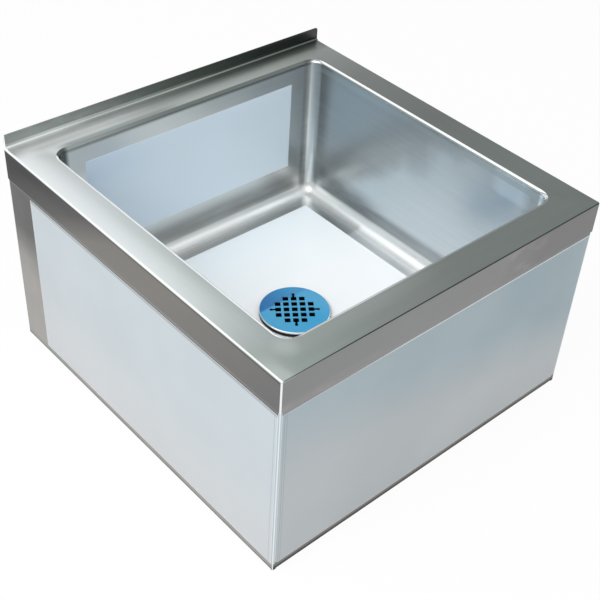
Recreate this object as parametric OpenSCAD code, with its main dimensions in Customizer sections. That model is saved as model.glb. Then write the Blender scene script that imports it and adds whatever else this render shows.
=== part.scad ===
// Floor-standing mop service sink: a square deep bowl hung in a sheet-steel
// deck with turned-down aprons, skirt panels to the ground, an upturned tile
// edge along the wall side, a flat strainer over the waste and the protective
// film that such a sink is delivered in.
//
// Frame: origin on the ground under the middle of the sink. +X runs to the
// right along the front, -Y is the front where a person stands, +Y is the
// wall side, +Z is up. Sizes are millimetres.

/* [Overall] */
// Width of the sink across the front
sink_w = 694; // [560:2:900]
// Depth of the sink from front to wall
sink_d = 712; // [560:2:900]
// Height of the deck above the ground
deck_h = 406; // [300:1:500]

/* [Sheet metal] */
// Thickness of the deck and bowl sheet
deck_t = 1.5; // [1:0.1:2]
// Thickness of the skirt sheet
skirt_t = 1.2; // [0.8:0.1:1.6]

/* [Deck] */
// Outside radius of the bend from deck to apron
edge_r = 3.5; // [3:0.5:6]
// Height of the turned-down aprons
apron_h = 59; // [40:1:90]
// Height of the tile edge above the deck
tile_edge_h = 25; // [15:1:60]
// Inside radius of the bend from deck to tile edge
tile_bend_r = 3; // [2:0.5:6]
// Radius of the tile edge's two top corners
tile_corner_r = 5; // [1:0.5:10]

/* [Bowl] */
// From the sink's side to the bowl's side wall
side_rail_w = 58; // [50:1:120]
// From the sink's front to the bowl's front wall
front_rail_w = 60.5; // [50:0.5:120]
// From the wall side of the sink to the bowl's back wall
back_rail_w = 60.5; // [50:0.5:120]
// Height of the bowl floor above the ground
floor_h = 104; // [90:1:180]
// Radius of the rolled rim between deck and bowl wall
rim_r = 6; // [4:0.5:12]
// Radius of the bowl's coved corners and floor edges
cove_r = 24; // [10:1:40]

/* [Skirt] */
// How far the skirt panels reach up behind the aprons
skirt_lap = 20; // [10:1:35]
// Width of the return lips at the skirt's edges
lip_w = 20; // [12:1:30]
// Outside radius of the lip bends
lip_bend_r = 2.4; // [2:0.1:3]
// Outside radius of the two upright front corners
corner_r = 3.5; // [3:0.5:5]
// Length that a side panel turns on round the front corner
corner_return = 4; // [2:0.5:10]

/* [Frame] */
// Leg width of the four corner posts
post_leg = 30; // [20:1:40]
// Thickness of the corner posts
post_t = 2; // [1.5:0.1:3]
// Outside radius of the corner posts' bend
post_r = 4; // [4:0.5:6]
// Width of the crown of the two bowl channels
channel_crown = 40; // [20:1:60]
// Width of each foot flange of the bowl channels
channel_foot = 15; // [8:1:25]
// Height of the bowl channels
channel_h = 30; // [15:1:40]
// Thickness of the bowl channels
channel_t = 1.5; // [1:0.1:2.5]
// Distance of each bowl channel from the middle of the bowl
channel_off = 150; // [130:1:200]

/* [Waste] */
// Radius of the hole in the bowl floor
waste_hole_r = 46; // [45:0.5:50]
// Outside radius of the waste body's threaded barrel
barrel_r = 44.4; // [40:0.1:44.5]
// Wall thickness of the waste body
barrel_t = 2.9; // [2:0.1:4]
// Depth of the barrel below the bowl floor
barrel_l = 34; // [30:1:38]
// Outside radius of the outlet neck
neck_r = 23.9; // [22:0.1:25]
// Bore radius of the outlet neck
neck_bore_r = 20; // [15:0.5:20]
// Length of the outlet neck
neck_l = 20; // [14:1:24]
// Radius of the waste body's top flange
flange_r = 62.5; // [58:0.5:66]
// Thickness of the waste body's top flange
flange_t = 2.5; // [2:0.1:4]
// Thickness of the black rubber seat under the flange
seat_t = 6.5; // [3:0.5:10]
// Outside radius of the black rubber seat
seat_r = 63.5; // [58:0.5:66]
// Outside radius of the washers under the bowl floor
washer_r = 58; // [54:0.5:64]
// Thickness of the rubber washer under the bowl floor
rubber_t = 3; // [2:0.5:5]
// Thickness of the slip washer above the locknut
slip_t = 1.2; // [0.8:0.1:2]
// Outside radius of the locknut
nut_r = 55; // [52:0.5:60]
// Height of the locknut
nut_h = 9; // [7:0.5:12]
// Number of lugs on the locknut
nut_lugs = 6; // [4:1:8]
// How far the locknut's lugs stand out
lug_l = 4; // [2:0.5:6]
// Width of the locknut's lugs
lug_w = 10; // [6:1:14]

/* [Tailpiece] */
// Outside radius of the tailpiece tube
tail_r = 19.05; // [16:0.05:20]
// Wall thickness of the tailpiece tube
tail_t = 1.2; // [1:0.1:2]
// Radius of the tailpiece's turned-out flange
tail_flange_r = 23.4; // [21.5:0.1:23.8]
// Thickness of the washer between neck and tailpiece
tail_washer_t = 2; // [1:0.5:4]
// Height of the tailpiece's open end above the ground
tail_end_h = 10; // [5:1:20]
// Thickness of the collar under the tailpiece's flange
tail_collar_t = 0.6; // [0.4:0.1:1.5]
// Length of the collar under the tailpiece's flange
tail_collar_l = 5; // [4:0.5:12]
// Distance across the flats of the coupling nut
coupling_flats = 54; // [52:1:60]
// How far the coupling nut covers the neck
coupling_cover = 12; // [8:1:13]
// Thickness of the coupling nut's shelf
coupling_shelf = 3; // [2:0.5:5]

/* [Strainer] */
// Radius of the strainer plate
strainer_r = 65.5; // [60:0.5:75]
// Thickness of the strainer plate
strainer_t = 1.5; // [1:0.1:2]
// Height of the strainer's turned-down rim
strainer_rim_h = 4.5; // [3.5:0.5:6]
// Radius of the bend at the strainer's edge
strainer_edge_r = 1.2; // [0.8:0.1:2]
// Side of the square holes
mesh_hole = 10.6; // [8:0.2:12]
// Pitch of the square holes
mesh_pitch = 15.2; // [14:0.1:16]
// Turn of the hole grid in the sink
mesh_turn = -36.5; // [-90:0.5:90]
// Radius of the four lifting holes
lift_hole_r = 3.2; // [2.5:0.1:4]
// Distance of the lifting holes from the middle
lift_hole_off = 43; // [41:0.5:46]
// Width of the slot from each lifting hole to its square
lift_slot_w = 4.4; // [3:0.2:5]

/* [Protective film] */
// Thickness of the film
film_t = 0.15; // [0.1:0.05:0.4]
// Bare strip below the aprons
film_top_gap = 8.5; // [2:0.5:30]
// Bare strip above the ground
film_foot_gap = 14; // [6:1:40]
// Bare strip beside the bends of the upright front corners
film_corner_gap = 0.5; // [0.5:0.5:40]
// Bare strip at the back of the side panels
film_rear_gap = 66; // [10:1:120]
// Snipped corner of the front film
film_snip = 6; // [1:1:20]
// From the bowl's side walls to the back-wall film
film_wall_side = 57; // [45:1:120]
// From the deck down to the back-wall film
film_wall_top = 39; // [20:1:80]
// From the bowl floor up to the back-wall film
film_wall_foot = 77; // [45:1:110]
// From the coves of the bowl's sides to the floor film
film_floor_side = 2; // [0.5:0.5:30]
// From the cove of the bowl's front to the floor film
film_floor_front = 10; // [0.5:0.5:40]
// From the cove of the bowl's back to the floor film
film_floor_back = 23; // [0.5:0.5:40]
// How far the floor film's back right corner is drawn in
film_floor_skew = 20; // [0:1:40]
// Distance in front of the waste at which the right edge starts to run askew
film_skew_start = 60; // [0:1:150]
// Gap round the rubber seat in the floor film
film_seat_gap = 1.5; // [0.5:0.5:10]

/* [Fits] */
// Lift gap between the strainer and the waste body
lift_gap = 0.3; // [0.2:0.1:0.5]
// Radial gap of nuts and washers on their threads and tubes
thread_gap = 0.3; // [0.1:0.1:0.6]

/* [Hidden] */
$fn = 96;
cut = 1;
hex_sides = 6;

steel = [0.72, 0.74, 0.74];
dark_steel = [0.56, 0.58, 0.58];
black_rubber = [0.05, 0.05, 0.05];
pale_film = [0.78, 0.84, 0.88];
blue_film = [0.18, 0.52, 0.78];
nut_metal = [0.62, 0.60, 0.55];
white_nylon = [0.88, 0.88, 0.85];

// Half sizes and main planes
half_w = sink_w / 2;
half_d = sink_d / 2;
bowl_half_w = half_w - side_rail_w;
bowl_front_y = -half_d + front_rail_w;
bowl_back_y = half_d - back_rail_w;
bowl_mid_y = (bowl_front_y + bowl_back_y) / 2;
bowl_half_d = (bowl_back_y - bowl_front_y) / 2;
apron_foot_z = deck_h - apron_h;
tile_start_y = half_d - deck_t - tile_bend_r;

// Skirt planes: the outer faces lie against the inside of the aprons
skirt_x = half_w - deck_t;
skirt_y = half_d - deck_t;
skirt_top_z = apron_foot_z + skirt_lap;
panel_end_x = skirt_x - corner_r - corner_return;
lip_end_x = skirt_x - lip_w;
post_top_z = deck_h - edge_r;

// Heights of the waste, from the bowl floor up and down
flange_low_z = floor_h + seat_t;
flange_top_z = flange_low_z + flange_t;
strainer_top_z = flange_top_z + lift_gap + strainer_t;
under_z = floor_h - deck_t;
slip_top_z = under_z - rubber_t;
nut_top_z = slip_top_z - slip_t;
barrel_foot_z = floor_h - barrel_l;
neck_foot_z = barrel_foot_z - neck_l;
tail_flange_top_z = neck_foot_z - tail_washer_t;
tail_flange_low_z = tail_flange_top_z - tail_t;
tail_collar_r = tail_r + tail_collar_t;
coupling_low_z = tail_flange_low_z - coupling_shelf;
coupling_h = neck_foot_z + coupling_cover - coupling_low_z;
square_reach = 2 * mesh_pitch;

// ---------------------------------------------------------------- helpers

// Flat rectangle centred on the origin with round corners
module round_rect(w, d, r) {
    square([w - 2 * r, d], center = true);
    square([w, d - 2 * r], center = true);
    for (sx = [-1, 1], sy = [-1, 1])
        translate([sx * (w / 2 - r), sy * (d / 2 - r)])
            circle(r);
}

// Quarter of a ring in the quadrant that sx and sy point into
module bend(r_in, r_out, sx, sy) {
    intersection() {
        difference() {
            circle(r_out);
            circle(r_in);
        }
        translate([sx > 0 ? 0 : -r_out, sy > 0 ? 0 : -r_out])
            square(r_out);
    }
}

// Section in X and Y, carried along +Z, then stood up so that it runs along Y
module along_y(y0, y1) {
    translate([0, y1, 0])
        rotate([90, 0, 0])
            linear_extrude(y1 - y0)
                children();
}

// Section in X and Y, carried so that its X lies along Y and its Y along Z
module along_x(x0, x1) {
    translate([x0, 0, 0])
        rotate([90, 0, 90])
            linear_extrude(x1 - x0)
                children();
}

// Flat ring standing on z
module ring(r_in, r_out, z, h) {
    translate([0, bowl_mid_y, z])
        difference() {
            cylinder(r = r_out, h = h);
            translate([0, 0, -cut])
                cylinder(r = r_in, h = h + 2 * cut);
        }
}

// Block with rounded left, right and front top edges and round front corners
module deck_block(hw, front, back, low, top, r_top, r_corner) {
    intersection() {
        along_y(front, back)
            union() {
                translate([-hw, low])
                    square([2 * hw, top - r_top - low]);
                translate([-hw + r_top, low])
                    square([2 * (hw - r_top), top - low]);
                for (sx = [-1, 1])
                    translate([sx * (hw - r_top), top - r_top])
                        circle(r_top);
            }
        along_x(-hw, hw)
            union() {
                translate([front, low])
                    square([back - front, top - r_top - low]);
                translate([front + r_top, low])
                    square([back - front - r_top, top - low]);
                translate([front + r_top, top - r_top])
                    circle(r_top);
            }
        translate([0, 0, low])
            linear_extrude(top - low)
                union() {
                    translate([-hw, front + r_corner])
                        square([2 * hw, back - front - r_corner]);
                    translate([-hw + r_corner, front])
                        square([2 * (hw - r_corner), back - front]);
                    for (sx = [-1, 1])
                        translate([sx * (hw - r_corner), front + r_corner])
                            circle(r_corner);
                }
    }
}

// Upturned edge along the wall side, with the bend that joins it to the deck
module tile_edge() {
    intersection() {
        along_x(-half_w, half_w)
            union() {
                translate([tile_start_y, deck_h + tile_bend_r])
                    bend(tile_bend_r, tile_bend_r + deck_t, 1, -1);
                translate([half_d - deck_t, deck_h + tile_bend_r])
                    square([deck_t, tile_edge_h - tile_bend_r]);
            }
        along_y(tile_start_y - cut, half_d + cut)
            union() {
                translate([-half_w, apron_foot_z])
                    square([sink_w, apron_h + tile_edge_h - tile_corner_r]);
                translate([-half_w + tile_corner_r, apron_foot_z])
                    square([sink_w - 2 * tile_corner_r, apron_h + tile_edge_h]);
                for (sx = [-1, 1])
                    translate([sx * (half_w - tile_corner_r), deck_h + tile_edge_h - tile_corner_r])
                        circle(tile_corner_r);
            }
    }
}

// Sheet section of the bowl from rim to cove. X is the distance outwards from
// the axis of a bowl corner, Y is the height.
module bowl_section() {
    translate([cove_r + rim_r, deck_h - rim_r])
        bend(rim_r - deck_t, rim_r, -1, 1);
    translate([cove_r, floor_h + cove_r])
        square([deck_t, deck_h - rim_r - floor_h - cove_r]);
    translate([0, floor_h + cove_r])
        bend(cove_r, cove_r + deck_t, 1, -1);
}

// Section of a skirt panel above its foot bend; X runs inwards from the outer
// face, Y is the height
module web_section(top) {
    translate([0, lip_bend_r])
        square([skirt_t, top - lip_bend_r]);
}

// Section of the foot bend
module foot_bend() {
    translate([lip_bend_r, lip_bend_r])
        bend(lip_bend_r - skirt_t, lip_bend_r, -1, -1);
}

// Section of the return lip that lies on the ground
module foot_lip() {
    translate([lip_bend_r, 0])
        square([lip_w - lip_bend_r, skirt_t]);
}

// ------------------------------------------------------------------- deck

// Deck ring with three aprons and the tile edge, all one folded sheet
module top_deck() {
    color(steel)
        difference() {
            union() {
                difference() {
                    deck_block(half_w, -half_d, half_d, apron_foot_z, deck_h, edge_r, corner_r);
                    deck_block(half_w - deck_t, -half_d + deck_t, half_d + cut,
                               apron_foot_z - cut, deck_h - deck_t,
                               edge_r - deck_t, corner_r - deck_t);
                    translate([-half_w + deck_t, tile_start_y, deck_h - deck_t - cut])
                        cube([sink_w - 2 * deck_t, half_d - tile_start_y + cut, deck_t + 2 * cut]);
                }
                tile_edge();
            }
            translate([0, bowl_mid_y, deck_h - deck_t - cut])
                linear_extrude(deck_t + 2 * cut)
                    round_rect(2 * (bowl_half_w + rim_r), 2 * (bowl_half_d + rim_r), cove_r + rim_r);
        }
}

// ------------------------------------------------------------------- bowl

// Bowl: four walls and four ball corners of one section, and a drilled floor
module bowl() {
    run_w = bowl_half_w - cove_r;
    run_d = bowl_half_d - cove_r;
    color(steel)
        translate([0, bowl_mid_y, 0])
            union() {
                for (side = [0, 1])
                    rotate([0, 0, 180 * side]) {
                        translate([run_w, 0, 0])
                            along_y(-run_d, run_d)
                                bowl_section();
                        translate([0, run_d, 0])
                            along_x(-run_w, run_w)
                                bowl_section();
                        translate([run_w, run_d, 0])
                            rotate_extrude(angle = 90)
                                bowl_section();
                        translate([-run_w, run_d, 0])
                            rotate([0, 0, 90])
                                rotate_extrude(angle = 90)
                                    bowl_section();
                    }
                difference() {
                    translate([-run_w, -run_d, under_z])
                        cube([2 * run_w, 2 * run_d, deck_t]);
                    translate([0, 0, under_z - cut])
                        cylinder(r = waste_hole_r, h = deck_t + 2 * cut);
                }
            }
}

// ------------------------------------------------------------------ skirt

// Front panel, butted between the two turned-round side panels
module skirt_front() {
    color(steel)
        translate([0, -skirt_y, 0])
            union() {
                along_x(-panel_end_x, panel_end_x)
                    union() {
                        web_section(skirt_top_z);
                        foot_bend();
                    }
                along_x(-lip_end_x, lip_end_x)
                    foot_lip();
            }
}

// Right-hand side panel; it turns round the front corner
module side_panel() {
    color(steel)
        union() {
            translate([skirt_x, 0, 0])
                mirror([1, 0, 0])
                    along_y(-skirt_y + corner_r, half_d)
                        union() {
                            web_section(skirt_top_z);
                            foot_bend();
                            foot_lip();
                        }
            linear_extrude(skirt_top_z)
                union() {
                    translate([skirt_x - corner_r, -skirt_y + corner_r])
                        bend(corner_r - skirt_t, corner_r, 1, -1);
                    translate([panel_end_x, -skirt_y])
                        square([corner_return, skirt_t]);
                }
        }
}

module skirt_right() {
    side_panel();
}

module skirt_left() {
    mirror([1, 0, 0])
        side_panel();
}

// Back panel between the side panels, with a lip on the ground and a lip
// under the deck; both are cut back clear of the neighbouring bends
module skirt_back() {
    web_x = skirt_x - skirt_t;
    top_lip_x = half_w - edge_r;
    top_z = deck_h - deck_t;
    color(steel)
        translate([0, half_d, 0])
            mirror([0, 1, 0])
                union() {
                    along_x(-web_x, web_x)
                        web_section(top_z - lip_bend_r);
                    along_x(-lip_end_x, lip_end_x)
                        union() {
                            foot_bend();
                            foot_lip();
                        }
                    along_x(-top_lip_x, top_lip_x)
                        translate([0, top_z])
                            mirror([0, 1])
                                union() {
                                    foot_bend();
                                    foot_lip();
                                }
                }
}

// ------------------------------------------------------------------ frame

// Bent angle in a corner of the skirt, standing between the foot bends and
// the bends under the deck
module corner_post() {
    color(dark_steel)
        translate([skirt_x - skirt_t, -skirt_y + skirt_t, lip_bend_r])
            linear_extrude(post_top_z - lip_bend_r)
                union() {
                    translate([-post_r, post_r])
                        bend(post_r - post_t, post_r, 1, -1);
                    translate([-post_t, post_r])
                        square([post_t, post_leg - post_r]);
                    translate([-post_leg, 0])
                        square([post_leg - post_r, post_t]);
                }
}

module corner_post_front_right() {
    corner_post();
}

module corner_post_front_left() {
    mirror([1, 0, 0])
        corner_post();
}

// The back posts stand one deck sheet further out, against the back panel
module corner_post_back_right() {
    translate([0, deck_t, 0])
        mirror([0, 1, 0])
            corner_post();
}

module corner_post_back_left() {
    mirror([1, 0, 0])
        corner_post_back_right();
}

// Hat channel under the bowl floor, welded to both side panels at its ends
module bowl_channel(y) {
    color(dark_steel)
        translate([0, y, under_z - channel_h])
            along_x(-skirt_x + skirt_t, skirt_x - skirt_t)
                union() {
                    translate([-channel_crown / 2, channel_h - channel_t])
                        square([channel_crown, channel_t]);
                    for (side = [0, 1])
                        mirror([side, 0])
                            translate([channel_crown / 2 - channel_t, 0]) {
                                square([channel_t, channel_h]);
                                square([channel_t + channel_foot, channel_t]);
                            }
                }
}

module bowl_channel_front() {
    bowl_channel(bowl_mid_y - channel_off);
}

module bowl_channel_back() {
    bowl_channel(bowl_mid_y + channel_off);
}

// ------------------------------------------------------------------ waste

// Black rubber seat between the bowl floor and the waste body's flange
module seat_rubber() {
    color(black_rubber)
        ring(barrel_r + thread_gap, seat_r, floor_h, seat_t);
}

// Waste body: top flange, threaded barrel, dished foot and outlet neck
module waste_body() {
    color(steel)
        translate([0, bowl_mid_y, 0])
            difference() {
                union() {
                    translate([0, 0, flange_low_z])
                        cylinder(r = flange_r, h = flange_t);
                    translate([0, 0, barrel_foot_z])
                        cylinder(r = barrel_r, h = flange_top_z - barrel_foot_z);
                    translate([0, 0, neck_foot_z])
                        cylinder(r = neck_r, h = neck_l);
                }
                translate([0, 0, barrel_foot_z + barrel_t])
                    cylinder(r = barrel_r - barrel_t, h = flange_top_z - barrel_foot_z);
                translate([0, 0, neck_foot_z - cut])
                    cylinder(r = neck_bore_r, h = flange_top_z - neck_foot_z);
            }
}

module under_rubber_washer() {
    color(black_rubber)
        ring(barrel_r + thread_gap, washer_r, slip_top_z, rubber_t);
}

module slip_washer() {
    color(white_nylon)
        ring(barrel_r + thread_gap, washer_r, nut_top_z, slip_t);
}

// Round locknut with lugs for a waste spanner
module locknut() {
    color(nut_metal)
        translate([0, bowl_mid_y, nut_top_z - nut_h])
            difference() {
                union() {
                    cylinder(r = nut_r, h = nut_h);
                    for (i = [0 : nut_lugs - 1])
                        rotate([0, 0, i * 360 / nut_lugs])
                            translate([nut_r - lug_l, -lug_w / 2, 0])
                                cube([2 * lug_l, lug_w, nut_h]);
                }
                translate([0, 0, -cut])
                    cylinder(r = barrel_r + thread_gap, h = nut_h + 2 * cut);
            }
}

module tail_washer() {
    color(white_nylon)
        ring(tail_r - tail_t, tail_flange_r, tail_flange_top_z, tail_washer_t);
}

// Tube to the trap, with a flange that the coupling nut pulls up and a short
// collar where the nut's shelf goes round it
module tailpiece() {
    color(steel)
        translate([0, bowl_mid_y, 0])
            difference() {
                union() {
                    translate([0, 0, tail_flange_low_z])
                        cylinder(r = tail_flange_r, h = tail_t);
                    translate([0, 0, tail_flange_low_z - tail_collar_l])
                        cylinder(r = tail_collar_r, h = tail_collar_l + tail_t);
                    translate([0, 0, tail_end_h])
                        cylinder(r = tail_r, h = tail_flange_top_z - tail_end_h);
                }
                translate([0, 0, tail_end_h - cut])
                    cylinder(r = tail_r - tail_t, h = tail_flange_top_z - tail_end_h + 2 * cut);
            }
}

// Hexagon nut that couples the tailpiece to the neck
module coupling_nut() {
    color(nut_metal)
        translate([0, bowl_mid_y, coupling_low_z])
            difference() {
                cylinder(r = coupling_flats / 2 / cos(180 / hex_sides), h = coupling_h, $fn = hex_sides);
                translate([0, 0, -cut])
                    cylinder(r = tail_collar_r + thread_gap, h = coupling_shelf + 2 * cut);
                translate([0, 0, coupling_shelf])
                    cylinder(r = neck_r + thread_gap, h = coupling_h);
            }
}

// --------------------------------------------------------------- strainer

// The hole pattern: five rows of squares without the four outer corners, and
// a lifting hole with its slot outside the middle square of each outer row
module strainer_holes() {
    rotate(mesh_turn) {
        for (i = [-2 : 2], j = [-2 : 2])
            if (abs(i) + abs(j) < 4)
                translate([i * mesh_pitch, j * mesh_pitch])
                    square(mesh_hole, center = true);
        for (a = [0 : 90 : 270])
            rotate(a) {
                translate([lift_hole_off, 0])
                    circle(lift_hole_r);
                translate([square_reach, -lift_slot_w / 2])
                    square([lift_hole_off - square_reach, lift_slot_w]);
            }
    }
}

// Lift-off strainer: a punched plate with a turned-down rim
module strainer() {
    color(steel)
        translate([0, bowl_mid_y, strainer_top_z])
            difference() {
                rotate_extrude()
                    union() {
                        translate([0, -strainer_t])
                            square([strainer_r - strainer_edge_r, strainer_t]);
                        translate([strainer_r - strainer_t, -strainer_rim_h])
                            square([strainer_t, strainer_rim_h - strainer_edge_r]);
                        translate([strainer_r - strainer_edge_r, -strainer_edge_r])
                            intersection() {
                                circle(strainer_edge_r);
                                square(strainer_edge_r);
                            }
                    }
                translate([0, 0, -strainer_t - cut])
                    linear_extrude(strainer_t + 2 * cut)
                        strainer_holes();
            }
}

// Blue film on the strainer plate, punched with it
module strainer_film() {
    color(blue_film)
        translate([0, bowl_mid_y, strainer_top_z])
            linear_extrude(film_t)
                difference() {
                    circle(strainer_r - strainer_edge_r);
                    strainer_holes();
                }
}

// ------------------------------------------------------------------- film

// Film on the front skirt panel, with two snipped lower corners
module film_front() {
    fx = skirt_x - corner_r - film_corner_gap;
    top_z = apron_foot_z - film_top_gap;
    color(pale_film)
        along_y(-skirt_y - film_t, -skirt_y)
            polygon([[-fx, film_foot_gap + film_snip], [-fx + film_snip, film_foot_gap],
                     [fx - film_snip, film_foot_gap], [fx, film_foot_gap + film_snip],
                     [fx, top_z], [-fx, top_z]]);
}

// Film on the right skirt panel; it stops short of the panel's back end
module film_right() {
    start_y = -skirt_y + corner_r + film_corner_gap;
    color(pale_film)
        translate([skirt_x, start_y, film_foot_gap])
            cube([film_t, half_d - film_rear_gap - start_y,
                  apron_foot_z - film_top_gap - film_foot_gap]);
}

module film_left() {
    mirror([1, 0, 0])
        film_right();
}

// Film on the inside of the bowl's back wall
module film_bowl_back() {
    color(pale_film)
        translate([-bowl_half_w + film_wall_side, bowl_back_y - film_t, floor_h + film_wall_foot])
            cube([2 * (bowl_half_w - film_wall_side), film_t,
                  deck_h - film_wall_top - floor_h - film_wall_foot]);
}

// Film on the bowl floor, cut out round the rubber seat; towards the back its
// right edge runs askew
module film_bowl_floor() {
    side_x = bowl_half_w - cove_r - film_floor_side;
    front_y = -bowl_half_d + cove_r + film_floor_front;
    back_y = bowl_half_d - cove_r - film_floor_back;
    color(pale_film)
        translate([0, bowl_mid_y, floor_h])
            linear_extrude(film_t)
                difference() {
                    polygon([[-side_x, front_y], [side_x, front_y], [side_x, -film_skew_start],
                             [side_x - film_floor_skew, back_y], [-side_x, back_y]]);
                    circle(seat_r + film_seat_gap);
                }
}

// ------------------------------------------------------------------ nodes

top_deck();
bowl();
skirt_front();
skirt_left();
skirt_right();
skirt_back();
corner_post_front_left();
corner_post_front_right();
corner_post_back_left();
corner_post_back_right();
bowl_channel_front();
bowl_channel_back();
seat_rubber();
waste_body();
under_rubber_washer();
slip_washer();
locknut();
tail_washer();
tailpiece();
coupling_nut();
strainer();
strainer_film();
film_front();
film_left();
film_right();
film_bowl_back();
film_bowl_floor();
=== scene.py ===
# %% [markdown]
# # A mop sink in brushed steel, as it comes out of its crate
# The object is a low square sink that stands on the floor. A folded deck
# frames a deep coved bowl, four skirt panels close the sides, and most flat
# faces still carry the pale film that protects the steel in transport.
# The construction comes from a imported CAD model, which gives the place of
# every piece. This lesson adds the looks: smooth folded sheets in place of
# the plainest CAD solids, brushed and painted metals, films, light and camera.

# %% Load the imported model
import math

import bmesh
import bpy
import numpy as np
from mathutils import Matrix, Vector


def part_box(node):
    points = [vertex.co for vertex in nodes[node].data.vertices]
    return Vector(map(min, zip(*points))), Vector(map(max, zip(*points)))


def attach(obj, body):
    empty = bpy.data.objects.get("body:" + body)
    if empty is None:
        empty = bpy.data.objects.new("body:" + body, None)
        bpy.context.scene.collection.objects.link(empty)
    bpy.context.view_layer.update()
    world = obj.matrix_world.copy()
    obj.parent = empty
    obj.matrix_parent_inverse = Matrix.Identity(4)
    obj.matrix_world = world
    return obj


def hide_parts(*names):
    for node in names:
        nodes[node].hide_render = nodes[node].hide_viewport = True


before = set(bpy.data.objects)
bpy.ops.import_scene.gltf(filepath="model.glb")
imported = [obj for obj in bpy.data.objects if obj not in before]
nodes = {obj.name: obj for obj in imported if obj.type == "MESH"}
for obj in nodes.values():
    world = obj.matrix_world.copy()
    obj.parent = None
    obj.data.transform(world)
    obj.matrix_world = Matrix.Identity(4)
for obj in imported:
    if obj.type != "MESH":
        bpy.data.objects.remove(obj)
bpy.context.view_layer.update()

# %% [markdown]
# ## Sizes
# The sheet sizes are the CAD model's own, in millimetres, because a folded
# sheet is easiest to think about in the numbers on its drawing. Everything is
# turned into metres at the moment a mesh is made. The finishes count in
# metres, so the sizes that they share are turned here, in small letters.

# %% Sizes of the sink
MM = 0.001
HALF_W, HALF_D = 347.0, 356.0          # middle to side, middle to front or wall
DECK_Z, SHEET = 406.0, 1.5             # top of the deck, thickness of its sheet
EDGE_R, APRON_FOOT = 3.5, 347.0        # bend at the deck's edge, foot of the aprons
TILE_TOP, TILE_BEND, TILE_CORNER = 431.0, 3.0, 5.0
BOWL_W, BOWL_D, FLOOR_Z = 289.0, 295.5, 104.0
RIM_R, COVE_R, HOLE_R = 6.0, 24.0, 46.0
SKIRT_X, SKIRT_Y = HALF_W - SHEET, HALF_D - SHEET
half_w, half_d, deck_z, floor_z = (size * MM for size in (HALF_W, HALF_D, DECK_Z, FLOOR_Z))
print("bowl", 2 * BOWL_W, "x", 2 * BOWL_D, "mm, depth", DECK_Z - FLOOR_Z)

# %% [markdown]
# ## A sheet as a line with a thickness
# A folded or pressed sheet has the same section all along: a line made of
# straight runs and round bends, with the back of the sheet one thickness
# behind it. So each section is written once, as points with their normals,
# and the back follows from the normals. Each straight run gets a row of
# points close to either end, which keeps the shading flat up to the bend.

# %% Straight runs and bends
NEAR_BEND = 0.3                        # from a bend to the row that guards it


def run(start, end, steps, normal):
    """Points from start to end in even steps, with one more just inside each
    end; every point has the same normal. Columns: distance, height, normal."""
    start, end = np.array(start, float), np.array(end, float)
    near = NEAR_BEND / np.linalg.norm(end - start)
    share = np.unique(np.r_[0, near, np.linspace(0, 1, steps + 1)[1:-1], 1 - near, 1])
    points = start + share[:, None] * (end - start)
    return np.hstack([points, np.tile(np.array(normal, float), (len(share), 1))])


def bend(centre, radius, a0, a1, steps, side):
    """Centre plus radius times (cos a, sin a) for angles from a0 to a1 degrees.
    The normal points away from the centre for side 1 and to it for side -1."""
    angle = np.radians(np.linspace(a0, a1, steps + 1))
    ring = np.stack([np.cos(angle), np.sin(angle)], 1)
    return np.hstack([np.array(centre, float) + radius * ring, side * ring])


def fold(*runs):
    """Runs laid end to end; the point that two of them share is kept once."""
    return np.vstack([runs[0]] + [r[1:] for r in runs[1:]])


def length_along(points):
    """Distance travelled along a row of points."""
    return np.r_[0, np.cumsum(np.linalg.norm(np.diff(points, axis=0), axis=1))]


quarter = bend((0, 0), EDGE_R, 90, 0, 8, 1)
print("round the deck's edge:", length_along(quarter[:, :2])[-1].round(2), "mm")

# %% [markdown]
# ## From a grid of points to a piece
# Every new piece here is a grid: rows go along the section and back along its
# rear side, so they always close; columns go round the sink, or from one end
# to the other. Neighbouring points make four-sided faces, all worked out as
# whole arrays. Where several points fall together, as in the ball corner of
# the bowl, they are merged afterwards, and the sign of the volume tells
# whether the faces look outwards. Each piece also gets a UV map named flow,
# in metres along and across its sheet. No finish here needs it; it is there
# for whoever gives the sheet another pattern.

# %% Grid to mesh
def sheet_of(line, thickness):
    """Line forwards, then the same line one thickness behind it, backwards."""
    return np.vstack([line[:, :2], (line[:, :2] - thickness * line[:, 2:])[::-1]])


def carry(section, base, angle):
    """Section point (d, z) at base + d (cos a, sin a), height z, for each a."""
    out = np.stack([np.cos(angle), np.sin(angle)], 1)
    flat = base[None] + section[:, None, :1] * out[None]
    height = np.broadcast_to(section[:, None, 1:], flat.shape[:2] + (1,))
    return np.concatenate([flat, height], 2)


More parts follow.
